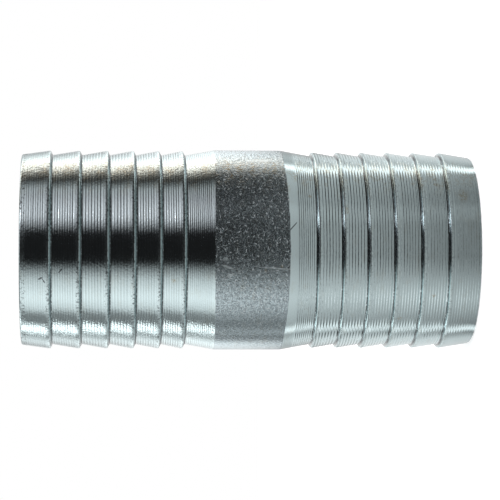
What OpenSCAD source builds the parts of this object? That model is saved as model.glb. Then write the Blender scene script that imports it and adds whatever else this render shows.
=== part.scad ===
// Insert coupling for polyethylene pipe, turned from one length of steel tube.
// It joins two pipes: each end has a row of barbs that the pipe is pushed over and clamped on,
// and the middle keeps the tube's own unturned surface.
// Z runs along the bore, upwards, and Z = 0 is the lower end face. The two ends are turned
// separately, so each has its own sizes.

/* [Tube] */
// Outside diameter of the tube, which the middle band keeps
tube_d = 36.5; // [30:0.1:60]
// Wall of the tube before turning
wall = 3.05; // [2.4:0.05:6]
// Length of the unturned band in the middle
band_l = 12; // [4:0.1:30]
// Radius where a cone meets the band
band_edge_radius = 2; // [0.2:0.1:4]
// How far the foot of each shoulder lies below the surface of the tube
foot_depth = 0.97; // [0.5:0.01:1.2]
// Radius that the turning tool leaves at the foot of a shoulder
foot_radius = 0.1; // [0.05:0.01:0.2]
// Chamfer at each mouth of the bore
bore_chamfer = 0.5; // [0.1:0.05:0.7]

/* [Upper end] */
// Length along the axis of the cone from the band down to the first shoulder
upper_cone_l = 5.4; // [2:0.1:12]
// Length along the axis that each shoulder takes
upper_shoulder_l = 0.4; // [0.1:0.01:0.8]
// Length of the flat land on each crest
upper_land_l = 0.4; // [0.1:0.05:1]
// How far the crests lie below the surface of the tube
upper_tip_skim = 0.23; // [0.05:0.01:0.4]
// Radius on the edge between a shoulder and its crest
upper_tip_radius = 0.1; // [0.05:0.01:0.3]
// Tip-to-tip distances from the band outwards, one for each barb after the first
upper_pitches = [4.3, 4.6, 4.7, 5.05, 5.3]; // [3:0.05:9]
// Length from the last crest to the end face
upper_nose_l = 4.85; // [2:0.05:15]
// How far the nose lies below the surface of the tube where it meets the end face
upper_nose_depth = 0.9; // [0.5:0.01:1.4]
// Radius round the outside of the end face
upper_end_radius = 0.35; // [0.05:0.01:0.5]

/* [Lower end] */
// Length along the axis of the cone from the band down to the first shoulder
lower_cone_l = 5.55; // [2:0.05:12]
// Length along the axis that each shoulder takes
lower_shoulder_l = 0.25; // [0.1:0.01:0.8]
// Length of the flat land on each crest
lower_land_l = 0.4; // [0.1:0.05:1]
// How far the crests lie below the surface of the tube
lower_tip_skim = 0.32; // [0.05:0.01:0.4]
// Radius on the edge between a shoulder and its crest
lower_tip_radius = 0.1; // [0.05:0.01:0.3]
// Tip-to-tip distances from the band outwards, one for each barb after the first
lower_pitches = [4.55, 4.5, 4.75, 4.8, 4.85]; // [3:0.05:9]
// Length from the last crest to the end face
lower_nose_l = 5.25; // [2:0.05:15]
// How far the nose lies below the surface of the tube where it meets the end face
lower_nose_depth = 1.2; // [0.5:0.01:1.4]
// Radius round the outside of the end face
lower_end_radius = 0.5; // [0.05:0.01:0.5]

/* [Hidden] */

tube_r = tube_d / 2;
foot_r = tube_r - foot_depth;
bore_r = tube_r - wall;

// Sum of the first n entries of a list
function sum_of(list, n) = n <= 0 ? 0 : list[n - 1] + sum_of(list, n - 1);

// Distances of the barb tips, the edges between shoulder and crest, from the band's edge
function tips(cone_l, shoulder_l, pitches) = [
    for (i = [0 : len(pitches)]) cone_l + shoulder_l + sum_of(pitches, i)
];

upper_tips = tips(upper_cone_l, upper_shoulder_l, upper_pitches);
lower_tips = tips(lower_cone_l, lower_shoulder_l, lower_pitches);

// Length of each turned end, from the band's edge to the end face
upper_l = upper_tips[len(upper_tips) - 1] + upper_land_l + upper_nose_l;
lower_l = lower_tips[len(lower_tips) - 1] + lower_land_l + lower_nose_l;
overall_l = lower_l + band_l + upper_l;

// Corners of one turned end as [radius, distance from the band's edge, corner radius],
// from the band outwards
function end_corners(tips, tip_r, shoulder_l, land_l, tip_radius, end_l, nose_r, end_radius) = [
    [tube_r, 0, band_edge_radius],
    for (tip = tips)
        each [
            [foot_r, tip - shoulder_l, foot_radius],
            [tip_r, tip, tip_radius],
            [tip_r, tip + land_l, 0]
        ],
    [nose_r, end_l, end_radius]
];

upper_corners = end_corners(
    upper_tips, tube_r - upper_tip_skim, upper_shoulder_l, upper_land_l, upper_tip_radius,
    upper_l, tube_r - upper_nose_depth, upper_end_radius
);
lower_corners = end_corners(
    lower_tips, tube_r - lower_tip_skim, lower_shoulder_l, lower_land_l, lower_tip_radius,
    lower_l, tube_r - lower_nose_depth, lower_end_radius
);

// The whole wall in section, once round from the lower mouth of the bore
mouth_r = bore_r + bore_chamfer;
wall_corners = [
    [mouth_r, 0, 0],
    for (i = [len(lower_corners) - 1 : -1 : 0])
        let (c = lower_corners[i])
        [c[0], lower_l - c[1], c[2]],
    for (c = upper_corners)
        [c[0], lower_l + band_l + c[1], c[2]],
    [mouth_r, overall_l, 0],
    [bore_r, overall_l - bore_chamfer, 0],
    [bore_r, bore_chamfer, 0]
];

// Unit vector along v
function unit(v) = v / norm(v);

// Arc that rounds the corner b between a and c, as a few points from one side to the other
function rounded_corner(a, b, c, radius, steps = 5) =
    let (
        to_a = unit(a - b),
        to_c = unit(c - b),
        half = acos(to_a * to_c) / 2,
        room = 0.45 * min(norm(a - b), norm(c - b)),
        back = min(radius / tan(half), room),
        r = back * tan(half),
        middle = b + unit(to_a + to_c) * r / sin(half),
        from = b + to_a * back - middle,
        to = b + to_c * back - middle
    )
    [for (k = [0 : steps]) middle + r * unit(from * (steps - k) + to * k)];

// The same corners with each one rounded by its own radius
function rounded(corners) =
    let (n = len(corners), at = [for (c = corners) [c[0], c[1]]])
    [
        for (i = [0 : n - 1])
            each corners[i][2] <= 0
                ? [at[i]]
                : rounded_corner(at[(i + n - 1) % n], at[i], at[(i + 1) % n], corners[i][2])
    ];

module insert_coupling() {
    color("silver")
        rotate_extrude($fn = 180)
            polygon(rounded(wall_corners));
}

insert_coupling();
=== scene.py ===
import math

import bmesh
import bpy
from mathutils import Matrix, Vector
from mathutils.noise import noise as uneven


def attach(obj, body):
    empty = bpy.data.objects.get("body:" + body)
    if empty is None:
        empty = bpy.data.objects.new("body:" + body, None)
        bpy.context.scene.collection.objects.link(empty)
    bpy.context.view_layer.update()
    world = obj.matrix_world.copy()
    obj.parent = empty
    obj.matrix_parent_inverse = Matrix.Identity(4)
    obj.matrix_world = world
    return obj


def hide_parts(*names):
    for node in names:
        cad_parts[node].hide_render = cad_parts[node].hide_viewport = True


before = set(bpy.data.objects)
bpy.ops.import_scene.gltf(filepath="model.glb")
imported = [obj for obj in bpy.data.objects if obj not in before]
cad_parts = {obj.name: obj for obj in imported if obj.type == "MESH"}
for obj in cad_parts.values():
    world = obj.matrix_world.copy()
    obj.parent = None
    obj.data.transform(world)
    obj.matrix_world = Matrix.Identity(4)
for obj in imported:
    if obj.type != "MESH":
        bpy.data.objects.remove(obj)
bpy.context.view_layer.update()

MM = 0.001

# Sizes of the part, in millimetres, as its drawing gives them
TUBE_R = 36.5 / 2
WALL = 3.05
BORE_R = TUBE_R - WALL
BORE_CHAMFER = 0.5
BAND_L = 12.0
BAND_EDGE_RADIUS = 2.0
FOOT_R = TUBE_R - 0.97
FOOT_RADIUS = 0.1
TIP_RADIUS = 0.1
# The stock tube isn't quite round: it is flatter in front and behind by this much at the
# band's lower and upper edge, so there the turned cones begin later
FLAT_LOW = 0.13
FLAT_HIGH = 0.10

# Each turned end. The feeds are the distances between the tool's marks on each surface from the
# band outwards, and the cuts are how deep the marks are there as a share of the mark depth, which
# also varies by a share. The cone next to the band has no marks over its smooth length, and the
# marks fade in over the crest fade beside each crest.
UPPER = dict(
    cone_l=5.4, shoulder_l=0.4, tip_r=TUBE_R - 0.23, land_l=0.4,
    pitches=(4.3, 4.6, 4.7, 5.05, 5.3), nose_l=4.85, nose_r=TUBE_R - 0.9, end_radius=0.35,
    feeds=(0.36, 0.46, 0.485, 0.53, 0.545, 0.445, 0.425),
    cuts=(0.7, 1.0, 1.0, 1.0, 1.1, 0.9, 0.65),
    mark_depth=0.033, mark_variation=0.5, smooth_l=0.4, crest_fade=0.6, worn_rim=0.9,
)
LOWER = dict(
    cone_l=5.55, shoulder_l=0.25, tip_r=TUBE_R - 0.32, land_l=0.4,
    pitches=(4.55, 4.5, 4.75, 4.8, 4.85), nose_l=5.25, nose_r=TUBE_R - 1.2, end_radius=0.5,
    feeds=(0.38, 0.555, 0.545, 0.54, 0.525, 0.5, 0.47),
    cuts=(0.75, 1.25, 1.3, 1.35, 1.4, 1.4, 1.25),
    mark_depth=0.058, mark_variation=0.15, smooth_l=1.7, crest_fade=0.35, worn_rim=0.3,
)
# The crests are worn and speckled, and so is the surface this far beside them
WORN_FADE = 0.3


def tips(end):
    """Distances of one end's barb tips from the band's edge."""
    first = end["cone_l"] + end["shoulder_l"]
    return [first + sum(end["pitches"][:i]) for i in range(len(end["pitches"]) + 1)]


def turned_l(end):
    """Length of one turned end."""
    return tips(end)[-1] + end["land_l"] + end["nose_l"]


LOWER_L = turned_l(LOWER)
UPPER_L = turned_l(UPPER)
OVERALL_L = LOWER_L + BAND_L + UPPER_L
BAND_LOW = LOWER_L
BAND_HIGH = LOWER_L + BAND_L

# The camera stands level with a point above the part's middle and is turned a quarter turn,
# as the photograph was, so the upper end is to the left
CAMERA_DISTANCE = 422.1 * MM
CAMERA_HEIGHT = 67.15 * MM
AIM_HEIGHT = 40.22 * MM
ROLL = math.radians(0.143)
LENS = 165.9

SPIN_STEPS = 144

# Depth of the surface's unevenness, in millimetres, and its roughness
STREAK_DEPTH = 0.006
SCRATCH_DEPTH = 0.01
GRAIN_DEPTH = 0.04
PIT_DEPTH = 0.015
SIDE_PIT_DEPTH = 0.05
FLECK_DEPTH = 0.008
WORN_DEPTH = 0.02
TURNED_ROUGHNESS = 0.12
BAND_ROUGHNESS = 0.18
WORN_ROUGHNESS = 0.2
BAND_DUST = 0.01
# Dark pits in the upper end's plating lie between these angles round from the front, in degrees,
# and are this dark
PIT_EDGES = (40, 46, 57, 63)
PIT_SHARE = 0.6
# How dark the painted shade is in the upper end's turning marks, at their deepest
GROOVE_SHADE_SHARE = 0.2
# How dark the corners at the foot of the shoulders are made, and the nicks on each end's crests
CREVICE_SHARE = 0.85
NICK_LOWER = 0.25
NICK_UPPER = 0.7


# Camera

def make_camera():
    place = Vector((0, -CAMERA_DISTANCE, CAMERA_HEIGHT))
    view = (Vector((0, 0, AIM_HEIGHT)) - place).normalized()
    picture_up = Vector((math.cos(ROLL), 0, math.sin(ROLL)))
    picture_right = view.cross(picture_up).normalized()
    picture_up = picture_right.cross(view)
    turn = Matrix((picture_right, picture_up, -view)).transposed().to_4x4()
    data = bpy.data.cameras.new("camera")
    data.sensor_width = 36
    data.lens = LENS
    data.clip_start = 0.02
    data.clip_end = 50
    camera = bpy.data.objects.new("camera", data)
    camera.matrix_world = Matrix.Translation(place) @ turn
    bpy.context.scene.collection.objects.link(camera)
    bpy.context.scene.camera = camera


# Mesh helpers

def new_piece(name, bm, material_list):
    """Makes an object of a finished bmesh, at the origin and smooth shaded."""
    mesh = bpy.data.meshes.new(name)
    bm.to_mesh(mesh)
    bm.free()
    for material in material_list:
        mesh.materials.append(material)
    mesh.shade_smooth()
    piece = bpy.data.objects.new(name, mesh)
    bpy.context.scene.collection.objects.link(piece)
    return piece


# The turned tube

def end_corners(end):
    """Corners of one turned end as (radius, distance from the band's edge, corner radius)."""
    corners = []
    for tip in tips(end):
        corners.append((FOOT_R, tip - end["shoulder_l"], FOOT_RADIUS))
        corners.append((end["tip_r"], tip, TIP_RADIUS))
        corners.append((end["tip_r"], tip + end["land_l"], 0))
    corners.append((end["nose_r"], turned_l(end), end["end_radius"]))
    return corners


def outline_corners():
    """The wall in section as (radius, height, corner radius), once round from the lower mouth."""
    mouth_r = BORE_R + BORE_CHAMFER
    corners = [(mouth_r, 0, 0)]
    corners += [(r, LOWER_L - along, c) for r, along, c in reversed(end_corners(LOWER))]
    corners += [(TUBE_R, BAND_LOW, BAND_EDGE_RADIUS), (TUBE_R, BAND_HIGH, BAND_EDGE_RADIUS)]
    corners += [(r, BAND_HIGH + along, c) for r, along, c in end_corners(UPPER)]
    corners += [(mouth_r, OVERALL_L, 0), (BORE_R, OVERALL_L - BORE_CHAMFER, 0), (BORE_R, BORE_CHAMFER, 0)]
    return corners


def round_corner(bm, vertex, radius):
    """Bevels one corner of the outline to an arc of that radius."""
    sides = [(e.other_vert(vertex).co - vertex.co).normalized() for e in vertex.link_edges]
    half = sides[0].angle(sides[1]) / 2
    bmesh.ops.bevel(
        bm, geom=[vertex], offset=radius / math.tan(half), offset_type="OFFSET", affect="VERTICES",
        segments=4, profile=0.5, material=-1, clamp_overlap=True,
    )


def lay_out_marks(bm, mark_layer, end, edge_height, outwards):
    """Divides each long edge of one end's outline for the turning tool's marks."""
    cone_side = edge_height * MM
    flanks = [
        e for e in bm.edges
        if min((v.co.z - cone_side) * outwards for v in e.verts) > -0.5 * MM
        and min(v.co.x for v in e.verts) > (FOOT_R - 0.5) * MM
        and e.calc_length() > 2 * MM
        and abs(e.verts[0].co.x - e.verts[1].co.x) > 0.1 * MM
    ]
    flanks.sort(key=lambda e: min(v.co.z * outwards for v in e.verts))
    for flank, feed, cut in zip(flanks, end["feeds"], end["cuts"], strict=True):
        crest, foot = sorted(flank.verts, key=lambda v: v.co.z * outwards)
        on_cone = abs(crest.co.z - cone_side) < 0.5 * MM
        plain_l = end["smooth_l"] if on_cone else 0
        crest, along = crest.co.copy(), foot.co - crest.co
        marks = round(along.length / (feed * MM))
        made = bmesh.ops.subdivide_edges(bm, edges=[flank], cuts=4 * marks - 1)
        for vertex in [g for g in made["geom_inner"] if isinstance(g, bmesh.types.BMVert)]:
            covered = (vertex.co - crest).length
            wave = 0.5 - 0.5 * math.cos(2 * math.pi * marks * covered / along.length)
            vertex[mark_layer] = cut * wave * min(1, max(0, (covered / MM - plain_l) / end["crest_fade"]))


def tube_radius(height, side):
    """Radius of the stock tube at a height, in mm, and a unit direction across the bore."""
    share = min(1, max(0, (height - BAND_LOW) / BAND_L))
    return TUBE_R - (FLAT_LOW + (FLAT_HIGH - FLAT_LOW) * share) * side.y ** 2


def crest_share(end, along):
    """1 on a crest's land and on the rim, falling to 0 beside them."""
    near = min(max(tip - along, along - tip - end["land_l"], 0) for tip in tips(end))
    near = min(near, max(0, turned_l(end) - end["worn_rim"] - along))
    return max(0, 1 - near / WORN_FADE)


def foot_share(end, along):
    """1 in the corner at the foot of a shoulder, 0 elsewhere."""
    return float(min(abs(tip - end["shoulder_l"] - along) for tip in tips(end)) < FOOT_RADIUS)


def finish_surface(bm, mark_layer):
    """Cuts the tool's marks, fits the outside to the stock tube and paints the masks."""
    turned_mask = bm.verts.layers.float["turned"]
    worn_mask = bm.verts.layers.float["worn"]
    crevice_mask = bm.verts.layers.float["crevice"]
    for vertex in bm.verts:
        side = Vector((vertex.co.x, vertex.co.y, 0))
        radius, height = side.length / MM, vertex.co.z / MM
        if radius < FOOT_R - 0.5:
            vertex[turned_mask] = float(radius > BORE_R + 0.1)
            continue
        side.normalize()
        limit = tube_radius(height, side)
        if BAND_LOW - 0.2 < height < BAND_HIGH + 0.2 or radius > limit:
            vertex.co = side * min(radius, limit) * MM + Vector((0, 0, vertex.co.z))
            continue
        end, along = (LOWER, BAND_LOW - height) if height < BAND_LOW else (UPPER, height - BAND_HIGH)
        vertex[turned_mask] = 1
        vertex[worn_mask] = crest_share(end, along)
        vertex[crevice_mask] = foot_share(end, along)
        if vertex[mark_layer] > 0:
            depth = 1 + end["mark_variation"] * uneven((side.x * 0.8, side.y * 0.8, height * 2.3))
            vertex.co -= side * vertex[mark_layer] * max(0.1, depth) * end["mark_depth"] * MM


def make_coupling(material_list):
    bm = bmesh.new()
    mark_layer = bm.verts.layers.float.new("mark")
    for name in ("turned", "worn", "crevice"):
        bm.verts.layers.float.new(name)
    mark_layer = bm.verts.layers.float["mark"]
    corners = outline_corners()
    points = [bm.verts.new((r * MM, 0, z * MM)) for r, z, _ in corners]
    for a, b in zip(points, points[1:] + points[:1]):
        bm.edges.new((a, b))
    for vertex, (_, _, radius) in zip(points, corners):
        if radius:
            round_corner(bm, vertex, radius * MM)
    lay_out_marks(bm, mark_layer, LOWER, BAND_LOW, -1)
    lay_out_marks(bm, mark_layer, UPPER, BAND_HIGH, 1)
    bmesh.ops.spin(
        bm, geom=bm.verts[:] + bm.edges[:], cent=(0, 0, 0), axis=(0, 0, 1),
        angle=2 * math.pi, steps=SPIN_STEPS, use_merge=True,
    )
    bmesh.ops.remove_doubles(bm, verts=bm.verts[:], dist=1e-7)
    bmesh.ops.recalc_face_normals(bm, faces=bm.faces[:])
    finish_surface(bm, mark_layer)
    print("coupling faces", len(bm.faces), "edges open", sum(1 for e in bm.edges if len(e.link_faces) != 2))
    piece = new_piece("turned_tube", bm, material_list)
    piece.modifiers.new("even_shading", "WEIGHTED_NORMAL")
    return piece


# Node helpers

def put(tree, socket, source):
    """Sets an input to a value, or links another node's output to it."""
    if isinstance(source, bpy.types.NodeSocket):
        tree.links.new(source, socket)
    else:
        socket.default_value = source


def math_node(tree, operation, *sources):
    node = tree.nodes.new("ShaderNodeMath")
    node.operation = operation
    for socket, source in zip(node.inputs, sources):
        put(tree, socket, source)
    return node.outputs[0]


def vector_node(tree, operation, *sources):
    node = tree.nodes.new("ShaderNodeVectorMath")
    node.operation = operation
    for socket, source in zip(node.inputs, sources):
        put(tree, socket, source)
    return node.outputs["Value" if operation == "LENGTH" else "Vector"]


def ramp(tree, source, start, full, low=0.0, high=1.0):
    """Goes evenly from low at one value of the source to high at another."""
    node = tree.nodes.new("ShaderNodeMapRange")
    for name, value in (("Value", source), ("From Min", start), ("From Max", full), ("To Min", low), ("To Max", high)):
        put(tree, node.inputs[name], value)
    return node.outputs[0]


def product(tree, *sources):
    total = sources[0]
    for source in sources[1:]:
        total = math_node(tree, "MULTIPLY", total, source)
    return total


def total_of(tree, *sources):
    total = sources[0]
    for source in sources[1:]:
        total = math_node(tree, "ADD", total, source)
    return total


def mix_colour(tree, share, a, b):
    node = tree.nodes.new("ShaderNodeMix")
    node.data_type = "RGBA"
    for name, value in (("Factor_Float", share), ("A_Color", a), ("B_Color", b)):
        put(tree, next(s for s in node.inputs if s.identifier == name), value)
    return next(s for s in node.outputs if s.identifier == "Result_Color")


def object_place(tree):
    return tree.nodes.new("ShaderNodeTexCoord").outputs["Object"]


def noise(tree, place, across, along, detail=2.0, roughness=0.5):
    """Noise whose grains have a width and a length along the tube, in millimetres."""
    scaled = vector_node(tree, "MULTIPLY", place, (1 / (across * MM), 1 / (across * MM), 1 / (along * MM)))
    node = tree.nodes.new("ShaderNodeTexNoise")
    put(tree, node.inputs["Vector"], scaled)
    put(tree, node.inputs["Scale"], 1.0)
    put(tree, node.inputs["Detail"], detail)
    put(tree, node.inputs["Roughness"], roughness)
    return node.outputs["Fac"]


def painted(tree, name):
    """A mask that the mesh carries."""
    node = tree.nodes.new("ShaderNodeAttribute")
    node.attribute_name = name
    return node.outputs["Fac"]


def turned_about(tree, place):
    """Degrees round the Z axis, 0 towards the camera and positive towards +X."""
    x, y, _ = parts_of(tree, place)
    return math_node(tree, "DEGREES", math_node(tree, "ARCTAN2", x, math_node(tree, "MULTIPLY", y, -1.0)))


def parts_of(tree, place):
    split = tree.nodes.new("ShaderNodeSeparateXYZ")
    put(tree, split.inputs[0], place)
    return split.outputs


# Finish of the zinc plate

TURNED_COLOUR = (0.60, 0.72, 0.735, 1)
BAND_COLOUR = (0.45, 0.54, 0.57, 1)
STAIN_COLOUR = (0.42, 0.36, 0.22, 1)
DARK_COLOUR = (0.08, 0.09, 0.095, 1)
PALE_COLOUR = (0.78, 0.88, 0.90, 1)
# Colour of the band's dark grains, which are part dust and part painted shade
DUST_AND_SHADE_COLOUR = (0.13, 0.11, 0.08, 1)
# The plate is tarnished in places between these angles round from the front, in degrees
TARNISH_EDGES = (32, 46, 57, 66)

# Blemishes by place on the outside: degrees round from the front, height, half the size round
# the tube and along it in millimetres, and degrees that the mark is turned by
STAINS = (
    (41, 27.5, 0.5, 0.35, 0), (42, 7.8, 0.45, 0.5, 0), (-27, 8.5, 0.4, 0.4, 0), (-43, 14.3, 0.4, 0.5, 0),
    (52, 75.4, 0.4, 0.4, 0), (-18, 54.7, 0.4, 0.4, 0), (34, 3.1, 1.6, 1.0, 0), (-11.6, 38.5, 0.4, 0.3, 0),
    (-9.2, 35.7, 0.3, 0.4, 0), (24, 24.0, 1.0, 0.3, 0), (33, 30.5, 0.4, 0.4, 0),
)
DARK_MARKS = (
    (13, 33.8, 1.3, 0.1, 40), (-16.5, 78.1, 0.45, 0.16, 60), (-18, 77.5, 0.5, 0.12, -30),
    (-12.2, 74.6, 0.6, 0.13, 35),
)
PALE_MARKS = (
    (-10.2, 37.0, 0.1, 3.0, 4), (62, 39.0, 0.5, 2.2, 0), (-9.5, 45.3, 0.2, 1.2, 20), (-5, 45.7, 0.3, 0.5, -30),
    (-14, 44.7, 0.2, 0.8, -15),
)
# Directions of the short scratches on the band, in degrees, and their size in millimetres
FLECK_TILTS = (12, 58, 97, 141)
FLECK_WIDTH = 0.2
FLECK_LENGTH = 0.8


def rotated(tree, place, tilt):
    """Turns a place in the unrolled surface about its origin, by degrees."""
    node = tree.nodes.new("ShaderNodeVectorRotate")
    node.rotation_type = "Z_AXIS"
    put(tree, node.inputs["Vector"], place)
    put(tree, node.inputs["Angle"], math.radians(tilt))
    return node.outputs[0]


def flecks(tree, unrolled):
    """Masks of short scratches in several directions, the bright ones and the dark ones."""
    bright, dark = 0.0, 0.0
    for tilt in FLECK_TILTS:
        stretched = vector_node(
            tree, "MULTIPLY_ADD", rotated(tree, unrolled, tilt), (1 / FLECK_WIDTH, 1 / FLECK_LENGTH, 0), (0, 0, tilt))
        node = tree.nodes.new("ShaderNodeTexNoise")
        put(tree, node.inputs["Vector"], stretched)
        put(tree, node.inputs["Scale"], 1.0)
        put(tree, node.inputs["Detail"], 0.0)
        bright = math_node(tree, "MAXIMUM", bright, ramp(tree, node.outputs["Fac"], 0.69, 0.82))
        dark = math_node(tree, "MAXIMUM", dark, ramp(tree, node.outputs["Fac"], 0.36, 0.26))
    return bright, dark


def spots(tree, unrolled, ragged, places):
    """Mask of a few blemishes, with ragged edges."""
    mask = 0.0
    for angle, height, width, length, tilt in places:
        centre = (math.radians(angle) * TUBE_R, height, 0)
        away = rotated(tree, vector_node(tree, "SUBTRACT", unrolled, centre), tilt)
        away = vector_node(tree, "MULTIPLY", away, (1 / width, 1 / length, 0))
        reach = math_node(tree, "ADD", vector_node(tree, "LENGTH", away), ragged)
        mask = math_node(tree, "MAXIMUM", mask, ramp(tree, reach, 1.2, 0.7))
    return mask


def zinc_material():
    """Zinc plate: bright and streaked where the tube is turned, dull on its own surface."""
    material = bpy.data.materials.new("bright_zinc")
    material.use_nodes = True
    tree = material.node_tree
    shader = tree.nodes["Principled BSDF"]
    place = object_place(tree)
    turned, worn, crevice = painted(tree, "turned"), painted(tree, "worn"), painted(tree, "crevice")
    plain = math_node(tree, "SUBTRACT", 1.0, turned)
    bright = product(tree, turned, math_node(tree, "SUBTRACT", 1.0, worn))

    streaks = noise(tree, place, 4.0, 0.3, 2.0, 0.5)
    scratches = noise(tree, place, 0.7, 0.2, 2.0, 0.5)
    grain = noise(tree, place, 0.42, 0.42, 3.0, 0.65)
    fine = noise(tree, place, 0.25, 0.25, 2.0, 0.6)
    wide = noise(tree, place, 3.0, 1.2, 3.0, 0.6)

    _, _, z = parts_of(tree, place)
    degrees = turned_about(tree, place)
    angle = math_node(tree, "RADIANS", degrees)
    join = tree.nodes.new("ShaderNodeCombineXYZ")
    put(tree, join.inputs[0], math_node(tree, "MULTIPLY", angle, TUBE_R))
    put(tree, join.inputs[1], math_node(tree, "DIVIDE", z, MM))
    unrolled = join.outputs[0]
    ragged = math_node(tree, "MULTIPLY", math_node(tree, "SUBTRACT", fine, 0.5), 1.6)
    upper = ramp(tree, z, BAND_LOW * MM, BAND_HIGH * MM)
    # The plating is rougher away from the front, where the angle in radians is large
    sides = math_node(tree, "ABSOLUTE", angle)
    # The band is worn smoother on the side that lies lower in the picture
    scratched = product(tree, plain, ramp(tree, degrees, -52, -30, 0.45, 1))
    bright_flecks, dark_flecks = (product(tree, mask, scratched) for mask in flecks(tree, unrolled))

    height = total_of(
        tree, product(tree, streaks, bright, STREAK_DEPTH * MM), product(tree, scratches, bright, SCRATCH_DEPTH * MM),
        product(tree, grain, plain, GRAIN_DEPTH * MM), product(tree, grain, worn, WORN_DEPTH * MM),
        product(tree, grain, bright, upper, ramp(tree, sides, 0.72, 0.92, PIT_DEPTH * MM, SIDE_PIT_DEPTH * MM)),
        product(tree, bright_flecks, -FLECK_DEPTH * MM), product(tree, dark_flecks, FLECK_DEPTH * MM))
    bump = tree.nodes.new("ShaderNodeBump")
    bump.inputs["Distance"].default_value = 1.0
    put(tree, bump.inputs["Height"], height)
    put(tree, shader.inputs["Normal"], bump.outputs[0])

    colour = mix_colour(tree, turned, BAND_COLOUR, TURNED_COLOUR)
    # Dark grains on the band, part dust and part painted shade: they are eight times as strong from -12 degrees round
    # over +X as from -30 degrees round over -X, so the band's front is painted darker
    dust_and_shade_side = ramp(tree, degrees, -30, -12, 0.15, 1.2)
    dust_and_shade = product(tree, ramp(tree, grain, 0.5, 0.72), plain, dust_and_shade_side, 0.4)
    colour = mix_colour(tree, dust_and_shade, colour, DUST_AND_SHADE_COLOUR)
    colour = mix_colour(tree, product(tree, dark_flecks, 0.4), colour, DARK_COLOUR)
    colour = mix_colour(tree, product(tree, bright_flecks, 0.6), colour, PALE_COLOUR)
    colour = mix_colour(tree, product(tree, ramp(tree, wide, 0.55, 0.75), 0.12), colour, STAIN_COLOUR)
    tarnished = product(tree, between(tree, degrees, TARNISH_EDGES), ramp(tree, wide, 0.42, 0.62), ramp(tree, grain, 0.42, 0.6))
    colour = mix_colour(tree, product(tree, tarnished, 0.5), colour, STAIN_COLOUR)
    stained = product(tree, spots(tree, unrolled, ragged, STAINS), ramp(tree, fine, 0.4, 0.6), 0.6)
    colour = mix_colour(tree, stained, colour, STAIN_COLOUR)
    colour = mix_colour(tree, product(tree, spots(tree, unrolled, ragged, DARK_MARKS), 0.85), colour, DARK_COLOUR)
    pits = product(tree, bright, upper, between(tree, degrees, PIT_EDGES), ramp(tree, fine, 0.53, 0.6), PIT_SHARE)
    colour = mix_colour(tree, pits, colour, DARK_COLOUR)
    # Painted shade in the troughs of the upper end's turning marks
    groove_shade = product(tree, painted(tree, "mark"), upper, GROOVE_SHADE_SHARE)
    colour = mix_colour(tree, groove_shade, colour, DARK_COLOUR)
    # The corners at the foot of the shoulders are made darker in grains
    dark_corners = product(tree, ramp(tree, crevice, 0.35, 0.65), ramp(tree, grain, 0.3, 0.5), CREVICE_SHARE)
    colour = mix_colour(tree, dark_corners, colour, DARK_COLOUR)
    nicks = product(tree, worn, ramp(tree, grain, 0.52, 0.62), ramp(tree, upper, 0, 1, NICK_LOWER, NICK_UPPER))
    colour = mix_colour(tree, nicks, colour, DARK_COLOUR)
    pale = spots(tree, unrolled, ragged, PALE_MARKS)
    colour = mix_colour(tree, product(tree, pale, 0.6), colour, PALE_COLOUR)
    put(tree, shader.inputs["Base Color"], colour)

    rough = total_of(
        tree, product(tree, bright, TURNED_ROUGHNESS), product(tree, plain, BAND_ROUGHNESS),
        product(tree, turned, worn, WORN_ROUGHNESS), ramp(tree, fine, 0.3, 0.7, -0.03, 0.05), product(tree, pale, 0.15))
    put(tree, shader.inputs["Roughness"], rough)
    dull = total_of(tree, product(tree, plain, BAND_DUST), product(tree, bright_flecks, 0.36))
    put(tree, shader.inputs["Metallic"], math_node(tree, "SUBTRACT", 1.0, dull))
    return material


# Studio

# How bright the backdrop is to diffuse surfaces; it looks plain white
AMBIENT = 0.35


def seen_directly(tree):
    """1 for rays that show the background: from the camera, mirrored or through glass."""
    path = tree.nodes.new("ShaderNodeLightPath")
    names = ("Is Camera Ray", "Is Glossy Ray", "Is Transmission Ray")
    return math_node(tree, "MINIMUM", total_of(tree, *(path.outputs[name] for name in names)), 1.0)


def make_world():
    world = bpy.data.worlds.new("white_backdrop")
    bpy.context.scene.world = world
    world.use_nodes = True
    world.cycles.sampling_method = "NONE"
    tree = world.node_tree
    background = tree.nodes["Background"]
    background.inputs["Color"].default_value = (1, 1, 1, 1)
    put(tree, background.inputs["Strength"], ramp(tree, seen_directly(tree), 0, 1, AMBIENT, 1))


FLOOR_RADIUS = 12
FLOOR_COLOUR = (0.85, 0.85, 0.85, 1)
# The floor's own paleness beside its light, near the part and where it becomes the backdrop
FLOOR_LIFT = 0.5
FLOOR_NEAR = 0.25
FLOOR_FAR = 0.6


def make_floor():
    material = bpy.data.materials.new("pale_floor")
    material.use_nodes = True
    tree = material.node_tree
    near = tree.nodes["Principled BSDF"]
    near.inputs["Base Color"].default_value = FLOOR_COLOUR
    near.inputs["Roughness"].default_value = 0.9
    near.inputs["Specular IOR Level"].default_value = 0
    near.inputs["Emission Color"].default_value = (1, 1, 1, 1)
    seen = seen_directly(tree)
    put(tree, near.inputs["Emission Strength"], product(tree, seen, FLOOR_LIFT))
    far = tree.nodes.new("ShaderNodeEmission")
    put(tree, far.inputs["Strength"], ramp(tree, seen, 0, 1, AMBIENT, 1))
    distance = vector_node(tree, "LENGTH", object_place(tree))
    mix = tree.nodes.new("ShaderNodeMixShader")
    put(tree, mix.inputs[0], ramp(tree, distance, FLOOR_NEAR, FLOOR_FAR))
    put(tree, mix.inputs[1], near.outputs[0])
    put(tree, mix.inputs[2], far.outputs[0])
    put(tree, tree.nodes["Material Output"].inputs["Surface"], mix.outputs[0])
    bm = bmesh.new()
    bmesh.ops.create_circle(bm, cap_ends=True, segments=96, radius=FLOOR_RADIUS)
    new_piece("floor", bm, [material])


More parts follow.
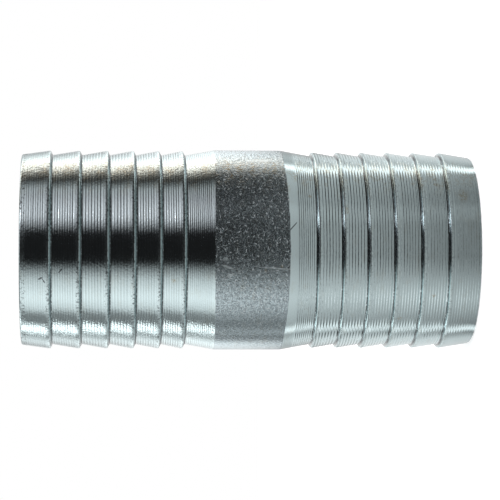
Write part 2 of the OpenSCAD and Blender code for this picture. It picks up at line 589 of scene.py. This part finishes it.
# The light tent: a dark dome round the part, open at the back towards the white backdrop.
# Its panels light the part and show only as mirror images. Azimuth 0 is towards the camera
# and positive towards +X, in degrees. Each panel has four azimuths, between which it rises,
# stays level and falls, four elevations likewise, and a brightness.
TENT_RADIUS = 0.5
TENT_OPENING = 166
TENT_OPENING_TOP = 55
PANELS = (
    ((22, 40, 54, 66), (10.5, 32, 48, 60), 1.0),
    ((37, 42, 52, 57), (40, 44, 54, 60), 5.5),
    ((54, 66, 77, 91), (8, 32, 48, 60), 0.72),
    ((93, 100, 106, 114), (-14, 0, 50, 60), 0.28),
    ((105, 114, 131, 141), (-16, 5, 50, 60), 1.9),
    ((131, 141, 150, 156), (-25, -5, 50, 60), 0.85),
    ((150, 156, 162, 168), (-25, -5, 50, 60), 0.45),
    ((112, 124, 160, 168), (-20, -5, 6, 12), 0.85),
    ((-82, -74, -36, -16), (-5, 22, 50, 60), 0.78),
    ((-84, -62, -57, -34), (-25, 0, 50, 60), 0.48),
    ((-100, -62, -54, -24), (-20, -5, 6, 14), 0.55),
    ((-168, -160, -134, -126), (-20, -5, 6, 14), 0.6),
    ((-103, -95, -81, -73), (-20, -2, 50, 60), 0.25),
    ((-118, -111, -106, -99), (-1, 24, 50, 60), 3.8),
    ((-153, -144, -129, -121), (-25, -5, 50, 60), 1.05),
    ((-168, -164, -154, -145), (-25, -5, 50, 60), 0.5),
    ((-181, -180, 180, 181), (60, 74, 90, 91), 0.55),
)
# What the dark parts of the tent still give
TENT_BASE = 0.011


# The light is a little warm between some azimuths, and violet between others
WARM_EDGES = (84, 98, 118, 136)
WARM_COLOUR = (1.16, 1, 0.88, 1)
VIOLET_EDGES = (-22, -8, 66, 84)
VIOLET_COLOUR = (1.07, 1, 1.045, 1)
WHITE = (1, 1, 1, 1)


def between(tree, source, edges):
    """Rises from the first edge to the second and falls from the third to the fourth."""
    start, full, last, stop = edges
    return product(tree, ramp(tree, source, start, full), ramp(tree, source, stop, last))


def light_material(name, light):
    """A surface that only gives light, by a function that works out its strength and colour."""
    material = bpy.data.materials.new(name)
    material.use_nodes = True
    tree = material.node_tree
    tree.nodes.remove(tree.nodes["Principled BSDF"])
    emission = tree.nodes.new("ShaderNodeEmission")
    strength, colour = light(tree)
    put(tree, emission.inputs["Strength"], strength)
    put(tree, emission.inputs["Color"], colour)
    put(tree, tree.nodes["Material Output"].inputs["Surface"], emission.outputs[0])
    return material


def tent_light(tree):
    place = object_place(tree)
    _, _, z = parts_of(tree, place)
    azimuth = turned_about(tree, place)
    elevation = math_node(tree, "DEGREES", math_node(tree, "ARCSINE", math_node(tree, "DIVIDE", z, TENT_RADIUS)))
    strength = total_of(tree, TENT_BASE, *(
        product(tree, between(tree, azimuth, azimuths), between(tree, elevation, elevations), brightness)
        for azimuths, elevations, brightness in PANELS))
    colour = mix_colour(tree, between(tree, azimuth, WARM_EDGES), WHITE, WARM_COLOUR)
    return strength, mix_colour(tree, between(tree, azimuth, VIOLET_EDGES), colour, VIOLET_COLOUR)


def stage_light(piece):
    """Keeps a light surface out of sight: it shows only in mirror images."""
    piece.visible_camera = False
    piece.visible_transmission = False
    piece.visible_shadow = False


def make_tent():
    bm = bmesh.new()
    bmesh.ops.create_uvsphere(bm, u_segments=96, v_segments=48, radius=TENT_RADIUS)
    bmesh.ops.bisect_plane(
        bm, geom=bm.verts[:] + bm.edges[:] + bm.faces[:], plane_co=(0, 0, 0), plane_no=(0, 0, 1), clear_inner=True)
    opening_top = TENT_RADIUS * math.sin(math.radians(TENT_OPENING_TOP))
    opening = [
        f for f in bm.faces
        if f.calc_center_median().z < opening_top
        and f.calc_center_median().y > -TENT_RADIUS * math.cos(math.radians(TENT_OPENING))
        * math.hypot(f.calc_center_median().x, f.calc_center_median().y) / TENT_RADIUS
    ]
    bmesh.ops.delete(bm, geom=opening, context="FACES")
    stage_light(new_piece("tent", bm, [light_material("tent", tent_light)]))


# The tent's floor: a grey card whose light is stronger in some directions, given by four
# azimuths and a brightness on top of the card's own
CARD_HEIGHT = 0.02 * MM
CARD_LIGHT = 0.425
CARD_STRIPS = (
    ((-104, -62, -58, -8), 0.29),
    ((-117, -111, -108, -100), 0.95),
    ((-180, -170, -134, -116), 0.48),
    ((32, 44, 52, 60), 0.07),
    ((72, 98, 104, 116), 0.10),
    ((106.5, 112.5, 117, 124), 1.35),
    ((112, 142, 170, 180), 0.45),
)
# The card's own light by distance from the axis, in metres: (start, full, factor at each)
CARD_RISES = ((0.023, 0.055, 0.6, 1.0), (0.055, 0.120, 1.0, 1.2), (0.120, 0.210, 1.0, 0.12))


def card_light(tree):
    place = object_place(tree)
    distance = vector_node(tree, "LENGTH", place)
    # A ray mirrored by the round part leaves its side, so it is turned further round than the
    # place where it meets the card. The turn is found in a few steps.
    part_share = math_node(tree, "MINIMUM", math_node(tree, "DIVIDE", LOWER["nose_r"] * MM, distance), 1.0)
    placed = math_node(tree, "RADIANS", turned_about(tree, place))
    turn = placed
    for _ in range(4):
        side = product(tree, math_node(tree, "SINE", product(tree, turn, 0.5)), part_share)
        turn = math_node(tree, "ADD", placed, math_node(tree, "ARCSINE", side))
    azimuth = math_node(tree, "DEGREES", turn)
    even = product(tree, CARD_LIGHT, *(ramp(tree, distance, *rise) for rise in CARD_RISES))
    strength = total_of(tree, even, *(
        product(tree, between(tree, azimuth, azimuths), brightness) for azimuths, brightness in CARD_STRIPS))
    return strength, WHITE


def make_card():
    bm = bmesh.new()
    bmesh.ops.create_circle(bm, cap_ends=True, segments=96, radius=TENT_RADIUS)
    bmesh.ops.translate(bm, verts=bm.verts[:], vec=(0, 0, CARD_HEIGHT))
    card = new_piece("grey_card", bm, [light_material("grey_card", card_light)])
    card.visible_diffuse = False
    stage_light(card)


def make_floor_lamp():
    """A soft lamp overhead, left out of mirror images: it gives the part its shadow."""
    data = bpy.data.lights.new("overhead", "AREA")
    data.shape = "DISK"
    data.size = 0.5
    data.energy = 4
    lamp = bpy.data.objects.new("overhead", data)
    lamp.location = (0.1, -0.1, 0.8)
    lamp.rotation_euler = lamp.location.to_track_quat("Z", "Y").to_euler()
    lamp.visible_camera = False
    lamp.visible_glossy = False
    bpy.context.scene.collection.objects.link(lamp)


make_camera()
make_world()
make_floor()
make_tent()
make_card()
make_floor_lamp()
coupling = make_coupling([zinc_material()])
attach(coupling, "root")
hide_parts("insert_coupling")
bpy.context.scene.view_settings.view_transform = "Standard"
